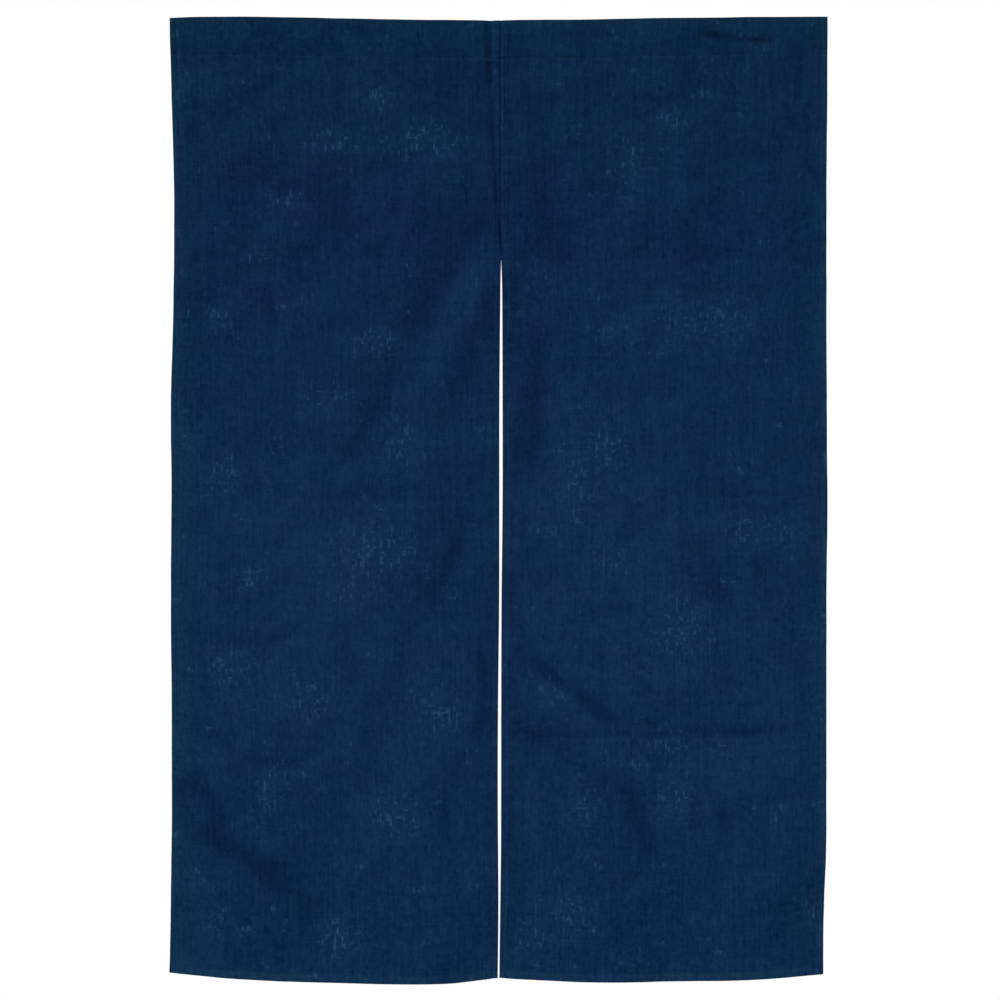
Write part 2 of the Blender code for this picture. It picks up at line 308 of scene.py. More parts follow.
@dataclass(frozen=True)
class Patch:
    """A soft-edged patch of the cloth, with its half sizes across and down."""

    x: float
    z: float
    half_width: float
    half_height: float
    strength: float

    def cover(self, x: Array, z: Array) -> Array:
        """Its strength times exp(-distance squared), with the distance in half sizes."""
        away = ((x - self.x) / self.half_width) ** 2 + ((z - self.z) / self.half_height) ** 2
        return self.strength * np.exp(-away)


# Where thick pale yarns gather in the weave.
SLUB_PATCHES = (
    Patch(-0.164, -0.101, 0.020, 0.022, 0.8),
    Patch(-0.224, -0.164, 0.032, 0.016, 0.9),
    Patch(-0.104, -0.160, 0.050, 0.022, 1.0),
    Patch(-0.326, -0.314, 0.026, 0.010, 1.0),
    Patch(-0.373, -0.400, 0.020, 0.020, 0.7),
    Patch(-0.159, -0.433, 0.030, 0.020, 0.9),
    Patch(-0.224, -0.508, 0.036, 0.020, 0.9),
    Patch(-0.132, -0.561, 0.018, 0.030, 0.9),
    Patch(-0.369, -0.608, 0.024, 0.020, 0.8),
    Patch(-0.164, -0.709, 0.060, 0.030, 1.0),
    Patch(-0.335, -0.749, 0.024, 0.012, 0.8),
    Patch(-0.199, -0.766, 0.024, 0.018, 0.8),
    Patch(-0.357, -0.869, 0.032, 0.022, 0.9),
    Patch(-0.258, -0.912, 0.034, 0.022, 0.8),
    Patch(-0.078, -0.920, 0.026, 0.034, 0.9),
    Patch(-0.304, -1.022, 0.022, 0.030, 0.9),
    Patch(-0.134, -1.064, 0.032, 0.026, 1.0),
    Patch(-0.399, -1.142, 0.014, 0.022, 0.7),
    Patch(-0.377, -1.201, 0.018, 0.016, 0.7),
    Patch(-0.215, -1.228, 0.026, 0.022, 1.0),
    Patch(0.177, -0.190, 0.018, 0.042, 1.0),
    Patch(0.229, -0.135, 0.022, 0.014, 0.7),
    Patch(0.292, -0.401, 0.062, 0.030, 0.8),
    Patch(0.058, -0.349, 0.016, 0.020, 0.7),
    Patch(0.144, -0.571, 0.024, 0.030, 1.0),
    Patch(0.105, -0.622, 0.020, 0.030, 0.8),
    Patch(0.348, -0.682, 0.046, 0.020, 0.8),
    Patch(0.152, -0.723, 0.024, 0.024, 0.7),
    Patch(0.243, -0.813, 0.040, 0.034, 1.0),
    Patch(0.069, -0.894, 0.020, 0.026, 0.8),
    Patch(0.246, -0.971, 0.058, 0.020, 0.8),
    Patch(0.237, -1.043, 0.024, 0.028, 0.8),
    Patch(0.117, -1.056, 0.020, 0.022, 0.8),
    Patch(0.096, -1.193, 0.022, 0.028, 0.9),
    Patch(0.176, -1.253, 0.024, 0.014, 0.8),
    Patch(0.041, -1.228, 0.020, 0.022, 0.8),
)

# Where the dye has less green in it.
PLUM_PATCHES = (
    Patch(-0.330, -0.225, 0.090, 0.050, 0.8),
    Patch(-0.215, -0.235, 0.090, 0.055, 1.0),
    Patch(-0.110, -0.300, 0.080, 0.050, 0.7),
    Patch(-0.330, -0.370, 0.060, 0.040, 0.7),
    Patch(-0.030, -0.400, 0.030, 0.090, 0.5),
    Patch(0.070, -0.280, 0.045, 0.080, 0.8),
    Patch(0.045, -0.480, 0.028, 0.110, 0.6),
    Patch(0.250, -0.310, 0.035, 0.025, 0.6),
    Patch(-0.165, -0.720, 0.080, 0.060, 0.4),
)


def smooth_curve(places: Array, values: Array, at: Array) -> Array:
    """A cubic curve through (places, values), whose slope at each point follows its neighbours.

    Between two points it is the Hermite cubic of their values and slopes.

    Args:
        places: Where the values hold, rising.
        values: The curve's values there.
        at: Where to read it.

    Returns:
        The curve's value at each place in at.
    """
    slopes = np.gradient(values, places)
    start = np.clip(np.searchsorted(places, at, side="right") - 1, 0, len(places) - 2)
    width = places[start + 1] - places[start]
    t = (at - places[start]) / width
    rise = 3 * t**2 - 2 * t**3
    leave = (t**3 - 2 * t**2 + t) * width * slopes[start]
    arrive = (t**3 - t**2) * width * slopes[start + 1]
    return (1 - rise) * values[start] + rise * values[start + 1] + leave + arrive


def from_table(rows: tuple, key: str, name: str, at: Array) -> Array:
    """Reads one column of a table of dataclass rows as a smooth curve over its key column.

    Args:
        rows: The table.
        key: The column that says where each row holds.
        name: The column to read.
        at: Where to read it.

    Returns:
        The column's value at each place.
    """
    places = np.array([getattr(row, key) for row in rows])
    values = np.array([getattr(row, name) for row in rows])
    return smooth_curve(places, values, at)


def step_down(value: Array, start: float, end: float) -> Array:
    """1 below start, 0 above end, and a smooth cubic step between them."""
    t = np.clip((value - start) / (end - start), 0, 1)
    return 1 - t * t * (3 - 2 * t)


@dataclass(frozen=True)
class Band:
    """A share of a tint that is whole up to one distance from an edge and gone by another."""

    share: float
    whole_to: float
    gone_by: float

    def cover(self, distance: Array) -> Array:
        """The share at each distance, falling in a smooth cubic step."""
        return self.share * step_down(distance, self.whole_to, self.gone_by)


@dataclass(frozen=True)
class Rumple:
    """Small uneven swellings all over the cloth, as a sum of crossed sine waves bent by longer ones."""

    waves: int = 26
    longest: float = 0.150
    shortest: float = 0.028
    depth: float = 0.00034
    seed: int = 7

    def relief(self, x: Array, z: Array) -> Array:
        """Depth behind the face: each wave's depth goes as its length, in a direction of its own.

        Args:
            x: Places across the hanging.
            z: Heights.

        Returns:
            The depth at each place.
        """
        draw = np.random.default_rng(self.seed)
        total = np.zeros_like(x)
        bent_x = x + 0.012 * np.sin(17.0 * z + 1.3) + 0.006 * np.sin(41.0 * z + 0.4)
        bent_z = z + 0.014 * np.sin(13.0 * x + 0.7) + 0.006 * np.sin(37.0 * x + 2.1)
        lengths = np.geomspace(self.longest, self.shortest, self.waves)
        for length in lengths:
            turn = draw.uniform(0, math.pi)
            phase = draw.uniform(0, 2 * math.pi)
            along = bent_x * math.cos(turn) + bent_z * math.sin(turn)
            total += length / self.longest * np.sin(2 * math.pi * along / length + phase)
        return self.depth * total


@dataclass(frozen=True)
class Hanging:
    """The form in which both panels hang: the sizes that the CAD solids have, and the finer relief."""

    half_width: float = 0.440
    length: float = 1.283
    lowest: float = -1.290
    slit_top: float = 0.320
    seam_across: float = 0.0035
    seam_gap: float = 0.0003
    side_hem: float = 0.010
    slit_hem: float = 0.008
    bottom_hem: float = 0.010
    pocket_depth: float = 0.051
    pocket_ledge: float = 0.004
    pocket_front_bulge: float = 0.002
    pocket_rear_bulge: float = 0.014
    pocket_lean: float = 0.002
    packing_creases: tuple[float, ...] = (0.320, 0.638, 0.953)
    packing_crease_width: float = 0.022
    packing_crease_depth: float = 0.0010
    packing_line_width: float = 0.0040
    packing_line_depth: float = 0.00080
    flute_width: float = 0.235
    flute_depth: float = 0.0018
    layer: float = 0.0007
    pucker_length: float = 0.0135
    pucker_depth: float = 0.00042
    pucker_reach: float = 0.011
    dimple_depth: float = 0.00030
    dimple_width: float = 0.0011
    hem_pucker_share: float = 0.55
    slit_pucker_share: float = 0.5
    stitch_margin: float = 0.0016
    seam_swell: float = 0.00055
    pocket_swell: float = 0.8
    swell_fade: float = 0.030
    groove_depth: float = 0.0009
    groove_width: float = 0.0016
    # Depths at which the shade in a crease is at its full strength, and the width of a pressed one's.
    sharp_depth: float = 0.0026
    broad_depth: float = 0.0150
    pressed_shade_width: float = 0.0028
    # A fold wider than this is a belly of the whole panel, and isn't shaded as a crease.
    widest_crease: float = 0.05
    panel_middle: float = 0.235
    green_top: tuple[Band, ...] = (Band(0.60, 0.018, 0.062), Band(0.40, 0.030, 0.300))
    green_side: Band = Band(0.12, 0.020, 0.090)
    green_bottom: Band = Band(0.26, 0.043, 0.283)
    rumple: Rumple = field(default_factory=Rumple)

    @property
    def panel_width(self) -> float:
        """From a panel's side edge to the seam."""
        return self.half_width - self.seam_across

    def stitch_inset(self, line: Line) -> float:
        """How far a line of sewing runs from the edge that it holds."""
        return {
            Line.POCKET: self.pocket_depth,
            Line.BOTTOM: self.bottom_hem - self.stitch_margin,
            Line.SIDE: self.side_hem - self.stitch_margin,
            Line.SLIT: self.slit_hem - self.stitch_margin,
        }[line]

    def main_relief(self, x: Array, z: Array, drop: Array) -> Array:
        """The CAD solids' own relief: folds, pressed creases, and flutes that deepen down the cloth.

        Args:
            x: Places across the hanging.
            z: Heights.
            drop: Drops down the cloth.

        Returns:
            Depth behind the face.
        """
        flutes = np.sin(2 * np.pi * x / self.flute_width + 1.2)
        depth = self.flute_depth * (drop / self.length) ** 2 * flutes
        for fold in MAIN_FOLDS:
            depth = depth + fold.relief(x, z)
        for crease in self.packing_creases:
            fade = np.exp(-np.abs(drop - crease) / self.packing_crease_width)
            depth = depth + self.packing_crease_depth * fade
        return depth

    def fine_relief(self, x: Array, z: Array, drop: Array) -> Array:
        """What the looks add: narrow creases, the pressed creases' crisp lines and the rumple.

        Args:
            x: Places across the hanging.
            z: Heights.
            drop: Drops down the cloth.

        Returns:
            Depth behind the face.
        """
        depth = self.rumple.relief(x, z)
        uneven = self.patchiness(x, z)
        for crease in FINE_CREASES:
            depth = depth + crease.relief(x, z) * uneven
        for line in PRESSED_LINES:
            depth = depth + self.packing_line_depth * line.cover(x, drop, self.packing_line_width)
        return depth

    def sewing_relief(self, x: Array, drop: Array, inward: Array) -> Array:
        """The pull of the thread: dimples along each line of sewing, and puckers across it.

        A dimple is a bell curve across its line. The puckers are sine waves along the line, whose
        length drifts a little, and they fade with the distance from it.

        Args:
            x: Places across the hanging.
            drop: Drops down the cloth.
            inward: Lengths in from the side edge.

        Returns:
            Depth behind the face.
        """
        from_slit = self.panel_width - inward
        waist = drop - self.stitch_inset(Line.POCKET)
        hem = self.length - self.stitch_inset(Line.BOTTOM) - drop
        side = inward - self.stitch_inset(Line.SIDE)
        slit = from_slit - self.stitch_inset(Line.SLIT)
        depth = np.zeros(np.broadcast(x, drop, inward).shape)
        for gap, along, share in (
            (waist, x, 1.0),
            (hem, x, self.hem_pucker_share),
            (side, drop, self.hem_pucker_share),
            (slit, drop, np.where(drop < self.slit_top, 1.0, self.slit_pucker_share)),
        ):
            turns = 2 * np.pi * along / self.pucker_length
            drift = 1.9 * np.sin(turns / 5.3) + 1.1 * np.sin(turns / 2.9 + 1.0)
            fade = np.exp(-((gap / self.pucker_reach) ** 2))
            depth = depth + share * self.pucker_depth * np.sin(turns + drift) * fade
            depth = depth + self.dimple_depth * np.exp(-((gap / self.dimple_width) ** 2))
        return depth

    def seam_relief(self, drop: Array, inward: Array) -> Array:
        """The swelling over the turned-back seam allowance, and the groove where the panels meet.

        Args:
            drop: Drops down the cloth.
            inward: Lengths in from the side edge.

        Returns:
            Depth behind the face.
        """
        from_slit = self.panel_width - inward
        above_slit = step_down(drop, self.slit_top - self.swell_fade, self.slit_top)
        in_pocket = step_down(drop, self.pocket_depth - 0.003, self.pocket_depth + 0.001)
        swell = -self.seam_swell * (1 + self.pocket_swell * in_pocket) * above_slit
        band = step_down(from_slit, self.slit_hem - 0.0005, self.slit_hem + 0.0022)
        groove = self.groove_depth * np.exp(-((from_slit / self.groove_width) ** 2)) * above_slit
        return swell * band + groove

    def slubby(self, x: Array, z: Array) -> Array:
        """How thickly pale slubs gather at each place, from 0 to 1."""
        return np.clip(sum(patch.cover(x, z) for patch in SLUB_PATCHES), 0, 1)

    def plum(self, x: Array, z: Array) -> Array:
        """How far the dye leans from green towards plum, from 0 to 1."""
        return np.clip(sum(patch.cover(x, z) for patch in PLUM_PATCHES), 0, 1)

    def greened(self, drop: Array, inward: Array) -> Array:
        """How green and grey the dye looks: most along the top edge, and a little at the others.

        Args:
            drop: Drops down the cloth.
            inward: Lengths in from the side edge.

        Returns:
            From 0 to 1 at each place.
        """
        top = sum(band.cover(drop) for band in self.green_top)
        bottom = self.green_bottom.cover(self.length - drop)
        return np.clip(top + bottom + self.green_side.cover(inward), 0, 1)

    def painted_crease_shade(self, x: Array, z: Array, drop: Array) -> Array:
        """Painted shade in the creases: how far a place lies down in a crease, from -1 on a ridge to 1 in
        the sharpest ones.

        Args:
            x: Places across the hanging.
            z: Heights.
            drop: Drops down the cloth.

        Returns:
            The shade at each place.
        """
        deep = sum(crease.relief(x, z) for crease in FINE_CREASES) / self.sharp_depth
        broad = sum(fold.relief(x, z) for fold in MAIN_FOLDS if fold.width < self.widest_crease)
        broad = broad / self.broad_depth
        pressed = sum(line.cover(x, drop, self.pressed_shade_width) for line in PRESSED_LINES)
        return np.clip((deep + broad) * self.patchiness(x, z) + 0.5 * pressed, -1, 1)

    def patchiness(self, x: Array, z: Array) -> Array:
        """An uneven field about 1, by which a crease comes and goes along its length."""
        return 1 + 0.45 * np.sin(61 * x + 38 * z + 0.6) * np.sin(47 * z - 29 * x + 1.9)

    def lighter_middle(self, x: Array, z: Array) -> Array:
        """How much lighter the colour is made: most in the middle of each panel, and none at its two ends.

        Args:
            x: Places across the hanging.
            z: Heights.

        Returns:
            From 0 to 1 at each place.
        """
        down = 0.65 + 0.35 * (1 - step_down(-z, 0.24, 0.64))
        up = step_down(-z, 0.80, 1.30)
        aside = np.abs(np.abs(x) - self.panel_middle) / self.panel_middle
        return down * (0.05 + 0.95 * up) * (1 - 0.35 * np.clip(aside, 0, 1) ** 2)

    def across_of(self, side: Side, inward: Array, drop: Array) -> Array:
        """The x of each place on a panel: between its side edge and its slit edge, by inward's share.

        Args:
            side: Which panel.
            inward: Lengths in from the side edge.
            drop: Drops down the cloth.

        Returns:
            The x of each place.
        """
        outer = side.value * (
            self.half_width - from_table(SECTIONS, "drop", f"{side.word}_inset", drop)
        )
        slit = from_table(SECTIONS, "drop", f"slit_{side.word}", drop)
        seam = self.seam_across + side.value * self.seam_gap / 2
        inner = np.where(drop <= self.slit_top, seam, slit)
        return outer + (inner - outer) * inward / self.panel_width

    def height_of(self, side: Side, inward: Array, drop: Array) -> Array:
        """The z of each place on a panel: from the top edge to the bottom edge, by drop's share.

        Args:
            side: Which panel.
            inward: Lengths in from the side edge.
            drop: Drops down the cloth.

        Returns:
            The z of each place.
        """
        share = np.clip(inward / self.panel_width, 0, 1)
        top = from_table(EDGES, "across", f"{side.word}_top", share)
        bottom = self.lowest + from_table(EDGES, "across", f"{side.word}_bottom", share)
        return top + (bottom - top) * drop / self.length

    def face(self, side: Side, inward: Array, drop: Array) -> Array:
        """Points on the middle of the panel's front layer, with its last axis as x, y and z.

        Args:
            side: Which panel.
            inward: Lengths in from the side edge.
            drop: Drops down the cloth.

        Returns:
            The points.
        """
        x = self.across_of(side, inward, drop)
        z = self.height_of(side, inward, drop)
        y = self.main_relief(x, z, drop) + self.fine_relief(x, z, drop)
        y = y + self.sewing_relief(x, drop, inward) + self.seam_relief(drop, inward)
        return np.stack([x, y, z], axis=-1)

    def in_hem(self, inward: Array) -> Array:
        """1 where a side hem or slit hem lies behind the face, falling to 0 just past its raw edge.

        Args:
            inward: Lengths in from the side edge.

        Returns:
            From 0 to 1 at each place.
        """
        side = step_down(inward, self.side_hem, self.side_hem + 0.0015)
        slit = step_down(self.panel_width - inward, self.slit_hem, self.slit_hem + 0.0015)
        return np.maximum(side, slit)

    def pocket_bulge(self, angle: Array) -> tuple[Array, Array]:
        """The pocket's teardrop section, at an angle from 0, its stitch line in front, to a full turn.

        The share of the pocket's depth below the top edge is (1 + cos(angle)) / 2, and the walls part
        as sin(angle) * sin(angle / 2) over its greatest value: sharp at the stitch line and round at
        the top.

        Args:
            angle: Angles round the section.

        Returns:
            The share below the top edge, and how far the wall stands behind the face.
        """
        below_top = (1 + np.cos(angle)) / 2
        greatest = 4 / (3 * math.sqrt(3))
        bulge = np.sin(angle) * np.sin(angle / 2) / greatest
        reach = np.where(angle <= np.pi, self.pocket_front_bulge, self.pocket_rear_bulge)
        return below_top, self.pocket_lean * (1 - below_top) - reach * bulge


@dataclass(frozen=True)
class Panel:
    """One panel: its grid of cloth with every fold-over, and the sewing on it."""

    side: Side
    hanging: Hanging
    cell: float = 0.0043
    cloth_thickness: float = 0.0005
    turn_steps: int = 4
    pocket_steps: int = 20
    # Rows this far from a line of sewing keep its dimple and puckers sharp. The even rows start past them.
    fine_rows: tuple[float, ...] = (0.0009, 0.0018, 0.0030, 0.0048)
    even_from: float = 0.008
    # The hems behind the face lighten it, partly as their second layer and partly as painted highlight,
    # strongest in the narrow band along the folded side edge.
    near_side: Band = Band(0.45, 0.0050, 0.0080)
    broad_side: tuple[Band, ...] = (Band(0.35, 0.012, 0.019), Band(0.20, 0.020, 0.036))
    right_side_share: float = 0.6
    right_slit_share: float = 0.35
    bottom_share: float = 0.80
    # The right panel's pattern lies this far past the left one's, so that their yarns differ.
    pattern_gap: float = 0.6
    # What the maker cuts: the panel, its hems turned in twice and its pocket.
    cut_width: float = 0.473
    cut_length: float = 1.370

    @property
    def name(self) -> str:
        """The panel's short name."""
        return f"panel_{self.side.word}"

    def turn(self) -> Array:
        """Angles through a fold of the cloth, from the first layer to the second, without the ends."""
        return np.linspace(0, np.pi, self.turn_steps + 1)[1:-1]

    def columns(self) -> tuple[Array, Array]:
        """Columns of the grid, from the side hem's raw edge, round to the front, to the slit hem's.

        Returns:
            inward, the length in from the side edge, and turned, 0 on the face and 1 on a hem behind.
        """
        form = self.hanging
        bend = form.layer / 2
        width = form.panel_width
        near_side = form.stitch_inset(Line.SIDE)
        near_slit = width - form.stitch_inset(Line.SLIT)
        after = np.array(self.fine_rows)
        fine = np.concatenate([-after[2::-1], [0], after])
        edge = np.array([bend, 0.0012, 0.0026])
        count = round((width - 0.030) / self.cell)
        middle = np.linspace(near_side + self.even_from, near_slit - self.even_from, count)
        face = np.sort(np.concatenate([edge, near_side + fine, middle, near_slit - fine, width - edge]))
        hem_side = np.linspace(form.side_hem, bend, 6)
        hem_slit = np.linspace(width - bend, width - form.slit_hem, 5)
        angles = self.turn()
        inward = np.concatenate([
            hem_side,
            bend - bend * np.sin(angles),
            face,
            width - bend + bend * np.sin(angles),
            hem_slit,
        ])
        turned = np.concatenate([
            np.ones_like(hem_side),
            (1 + np.cos(angles)) / 2,
            np.zeros_like(face),
            (1 - np.cos(angles)) / 2,
            np.ones_like(hem_slit),
        ])
        return inward, turned

    def face_drops(self) -> Array:
        """Rows of the front from the stitch line to the bottom hem, closer together near the sewing.

        Returns:
            The rows' drops.
        """
        form = self.hanging
        waist = form.pocket_depth
        hem = form.length - form.stitch_inset(Line.BOTTOM)
        fine = np.array(self.fine_rows)
        count = round((hem - waist - 2 * self.even_from) / self.cell)
        middle = np.linspace(waist + self.even_from, hem - self.even_from, count)
        near_hem = np.concatenate([hem - fine[::-1], [hem], hem + fine[:3]])
        edge = form.length - np.array([0.0022, 0.0010])
        return np.concatenate([waist + fine, middle, near_hem, edge])

    def cloth_grid(self) -> tuple[Array, dict[str, Array], Array]:
        """The whole sheet as a grid, from the rear wall's turned-under edge to the bottom hem's.

        Down the path the rows are: the rear wall's edge turned under, the rear wall up from the
        ledge, the pocket's teardrop section over the top to the stitch line, the front, the bottom
        hem's fold and the hem behind. The layers of a stack lie one layer's height apart, in the
        order in which folding puts them, and a fold is a half circle between its two layers.

        Returns:
            Points as (column, row, xyz), what the dye and wear did at each point by name, and how
            far the cloth has run, as (column, row, across and down), which is its flat pattern.
        """
        form = self.hanging
        step = form.layer
        inward, turned = (part[:, None] for part in self.columns())
        hem = form.in_hem(inward)
        ledge = form.pocket_depth + form.pocket_ledge
        angles = self.turn()[None, :]

        # The rear wall's stack just below the stitch line, counted in layers behind the front one.
        stitched = form.pocket_depth + 0.0008
        under = 1 + hem + turned
        rear = 2 + 3 * hem - turned
        bend = (rear - under) * step / 2
        under_drop = np.linspace(stitched, ledge, 4)[None, :] - bend
        ledge_drop = ledge - bend + bend * np.sin(angles)
        ledge_rise = under + (rear - under) * (1 - np.cos(angles)) / 2
        rear_drop = np.linspace(ledge, stitched, 4)[None, :] - bend
        low_drop = np.concatenate([under_drop, ledge_drop, rear_drop], axis=1)
        low_rise = step * np.concatenate(
            [under + 0 * under_drop, ledge_rise, rear + 0 * rear_drop], axis=1
        )

        # Over the pocket, from the rear of the stitch line to its front.
        angle = np.linspace(2 * np.pi, 0, 2 * self.pocket_steps + 1)[None, :]
        below_top, bulge = form.pocket_bulge(angle)
        pocket_drop = form.pocket_depth * below_top + 0 * inward
        rear_share = np.where(angle > np.pi, below_top, 0.0)
        pocket_rise = bulge + rear_share * step * (2 + 3 * hem)

        front_drop = self.face_drops()[None, :] + 0 * inward
        front_rise = step * turned + 0 * front_drop

        # The bottom hem, folded up behind the front after the side hems.
        back = 1 + 2 * hem - turned
        hem_bend = (back - turned) * step / 2
        fold_drop = form.length - hem_bend + hem_bend * np.sin(angles)
        fold_rise = turned + (back - turned) * (1 - np.cos(angles)) / 2
        hem_drop = np.linspace(form.length, form.length - form.bottom_hem, 5)[None, :] - hem_bend
        tail_drop = np.concatenate([fold_drop, hem_drop], axis=1)
        tail_rise = step * np.concatenate([fold_rise, back + 0 * hem_drop], axis=1)

        drop = np.concatenate([low_drop, pocket_drop, front_drop, tail_drop], axis=1)
        rise = np.concatenate([low_rise, pocket_rise, front_rise, tail_rise], axis=1)
        points = form.face(self.side, inward + 0 * drop, drop)
        points[..., 1] += rise

        # On the pocket a turned hem lies inside the wall, along the section's own normal.
        first = low_drop.shape[1]
        last = first + pocket_drop.shape[1]
        run = np.gradient(points[:, first:last, 1:], axis=1)
        run /= np.linalg.norm(run, axis=-1, keepdims=True)
        points[:, first:last, 1] -= step * turned * run[..., 1]
        points[:, first:last, 2] += step * turned * run[..., 0]

        x, z = points[..., 0], points[..., 2]
        marks = {
            # Lightening on the hems, partly painted highlight on their folded edges.
            "hem": self.hem_and_highlight_tint(inward, drop),
            "greened": form.greened(drop, inward),
            "plum": form.plum(x, z),
            "slubby": form.slubby(x, z),
            # Painted shade down in the creases and along the pressed lines.
            "painted_crease_shade": form.painted_crease_shade(x, z, drop),
            "lighter_middle": form.lighter_middle(x, z),
        }
        return points, marks, self.flat_pattern(points)

    def hem_and_highlight_tint(self, inward: Array, drop: Array) -> Array:
        """How strongly a hem behind the face lightens it, partly as painted highlight on its folded edge:
        most at the side edge, least at the slit.

        Args:
            inward: Lengths in from the side edge.
            drop: Drops down the cloth.

        Returns:
            From 0 to 1 at each place.
        """
        form = self.hanging
        on_right = self.side is Side.RIGHT
        broad = sum(band.cover(inward) for band in self.broad_side)
        side = self.near_side.cover(inward) + broad * (self.right_side_share if on_right else 1.0)
        below_pocket = 1 - step_down(drop, form.pocket_depth - 0.004, form.pocket_depth + 0.004)
        side = side * (0.5 + 0.5 * below_pocket)
        bottom = self.bottom_share * step_down(form.length - drop, form.bottom_hem, form.bottom_hem + 0.002)
        slit = step_down(form.panel_width - inward, form.slit_hem, form.slit_hem + 0.002)
        slit = slit * (1 - step_down(drop, form.slit_top, form.slit_top + 0.010))
        slit = slit * (self.right_slit_share if on_right else 0.0)
        return np.clip(np.maximum(np.maximum(side, bottom), slit), 0, 1)

    def flat_pattern(self, points: Array) -> Array:
        """Where each point lay on the flat cloth: the lengths run along the grid's middle lines.

        Args:
            points: The grid, as (column, row, xyz).

        Returns:
            As (column, row, across and down).
        """
        run_across = np.linalg.norm(np.diff(points[:, points.shape[1] // 2], axis=0), axis=-1)
        run_down = np.linalg.norm(np.diff(points[points.shape[0] // 2], axis=0), axis=-1)
        across = np.concatenate([[0], np.cumsum(run_across)])[:, None]
        down = np.concatenate([[0], np.cumsum(run_down)])[None, :]
        if self.side is Side.RIGHT:
            across = across[-1] - across + self.pattern_gap
        return np.stack(np.broadcast_arrays(across, down), axis=-1)

    def build_cloth(self, finish: bpy.types.Material) -> bpy.types.Object:
        """Makes the panel's sheet and gives it its thickness.

        Args:
            finish: The linen's material.

        Returns:
            The sheet's object.
        """
        points, marks, pattern = self.cloth_grid()
        faces = grid_faces(points.shape[0], points.shape[1], flipped=self.side is Side.LEFT)
        cloth = mesh_object(f"cloth_{self.side.word}", points.reshape(-1, 3), faces, finish)
        for name, values in marks.items():
            write_attribute(cloth.data, name, values)
        write_pattern(cloth.data, pattern)
        thicken = cloth.modifiers.new("thickness", "SOLIDIFY")
        thicken.thickness = self.cloth_thickness
        thicken.offset = 0.0
        return cloth

    def outer_point(self, inward: Array, drop: Array, behind: Array) -> Array:
        """A point on the panel's outside: on its face, or behind every layer of a hem.

        Args:
            inward: Lengths in from the side edge.
            drop: Drops down the cloth.
            behind: How far behind the front layer's middle, 0 on the face.

        Returns:
            Points with x, y and z on the last axis.
        """
        points = self.hanging.face(self.side, inward, drop)
        points[..., 1] += behind
        return points


def grid_faces(columns: int, rows: int, flipped: bool = False) -> Array:
    """Quads between the points of a grid, numbered column by column, turned over if flipped.

    Args:
        columns: How many columns of points.
        rows: How many rows of points.
        flipped: True to turn every face over.

    Returns:
        Faces, one a row of four vertex numbers.
    """
    corner = np.arange(columns - 1)[:, None] * rows + np.arange(rows - 1)[None, :]
    quads = np.stack([corner, corner + rows, corner + rows + 1, corner + 1], axis=-1).reshape(-1, 4)
    return quads[:, ::-1] if flipped else quads


def mesh_object(
    name: str, points: Array, faces: Array, finish: bpy.types.Material
) -> bpy.types.Object:
    """Puts arrays into a new smooth-shaded mesh object at the origin.

    Args:
        name: The object's name.
        points: Its vertices, one a row.
        faces: Its faces, one a row of vertex numbers.
        finish: Its material.

    Returns:
        The object, linked to the scene.
    """
    mesh = bpy.data.meshes.new(name)
    mesh.from_pydata(points.tolist(), [], faces.tolist())
    mesh.materials.append(finish)
    mesh.shade_smooth()
    mesh.update()
    made = bpy.data.objects.new(name, mesh)
    bpy.context.scene.collection.objects.link(made)
    return made


def write_attribute(mesh: bpy.types.Mesh, name: str, values: Array) -> None:
    """Stores one number for each vertex."""
    layer = mesh.attributes.new(name, "FLOAT", "POINT")
    layer.data.foreach_set("value", np.ascontiguousarray(values, np.float32).ravel())


def write_pattern(mesh: bpy.types.Mesh, pattern: Array) -> None:
    """Stores the cloth's flat pattern, in metres, as the UV map "pattern".

    Args:
        mesh: The cloth's mesh, with its points in the grid's order.
        pattern: The flat pattern, as (column, row, across and down).
    """
    corners = np.empty(len(mesh.loops), np.int32)
    mesh.loops.foreach_get("vertex_index", corners)
    layer = mesh.uv_layers.new(name="pattern", do_init=False)
    flat = pattern.reshape(-1, 2)[corners].astype(np.float32)
    layer.uv.foreach_set("vector", np.ascontiguousarray(flat).ravel())


